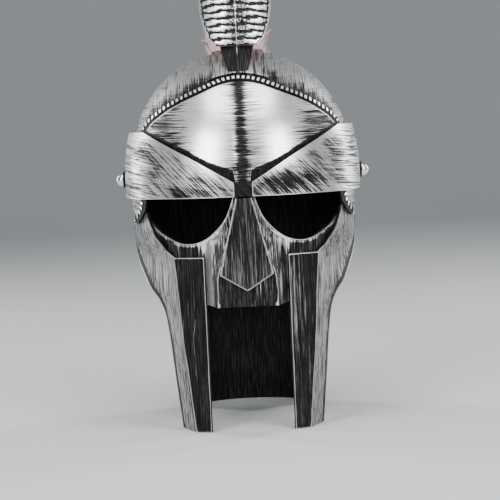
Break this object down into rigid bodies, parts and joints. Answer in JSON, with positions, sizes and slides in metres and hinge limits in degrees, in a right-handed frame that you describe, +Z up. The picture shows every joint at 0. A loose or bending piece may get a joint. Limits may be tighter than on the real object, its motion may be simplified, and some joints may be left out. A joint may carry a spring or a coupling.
{
  "type": "crested helmet with hinged visor",
  "caption": "Crested open-faced helmet in silvered black plastic, with a hinged brow visor on side studs, a kite-shaped nasal, long cheek guards and a brush plume.",
  "frame": {"origin": "on the ground, under the middle of the helmet's bounding box", "axes": "+Z up, the face looks along -Y, +X is to the right of someone who looks at the face"},
  "size_m": [0.2016, 0.2736, 0.3691],
  "materials": {
    "shell_silver": "black plastic dry-brushed with silver, greyer than the face",
    "bright_silver": "silver rubbed thick over black, bright and brushed",
    "visor_silver": "silver brushed over black in slanting streaks",
    "face_silver": "black plastic with silver rubbed on edges and high places",
    "dark_silver": "black plastic with a few silver streaks and silver edges",
    "stud_silver": "polished silver",
    "bristle": "dusty red bristle with pale tips"
  },
  "bodies": {
    "shell": {"skull_shell": "shell_silver", "beaded_edge": "bright_silver", "forehead_plate": "bright_silver", "stud_left": "stud_silver", "stud_right": "stud_silver", "face_plate": "face_silver", "nasal_guard": "dark_silver", "cheek_guard_left": "face_silver", "cheek_guard_right": "face_silver", "crest_keel": "shell_silver", "crest_stem": "dark_silver", "crest_shield": "bright_silver", "plume": "bristle"},
    "visor": {"visor": "visor_silver"}
  },
  "joints": [
    {"name": "visor_hinge", "type": "hinge", "parent": "shell", "child": "visor", "pos_m": [0, -0.01719, 0.193], "axis": [-1, 0, 0], "range_deg": [0, 50]}
  ]
}
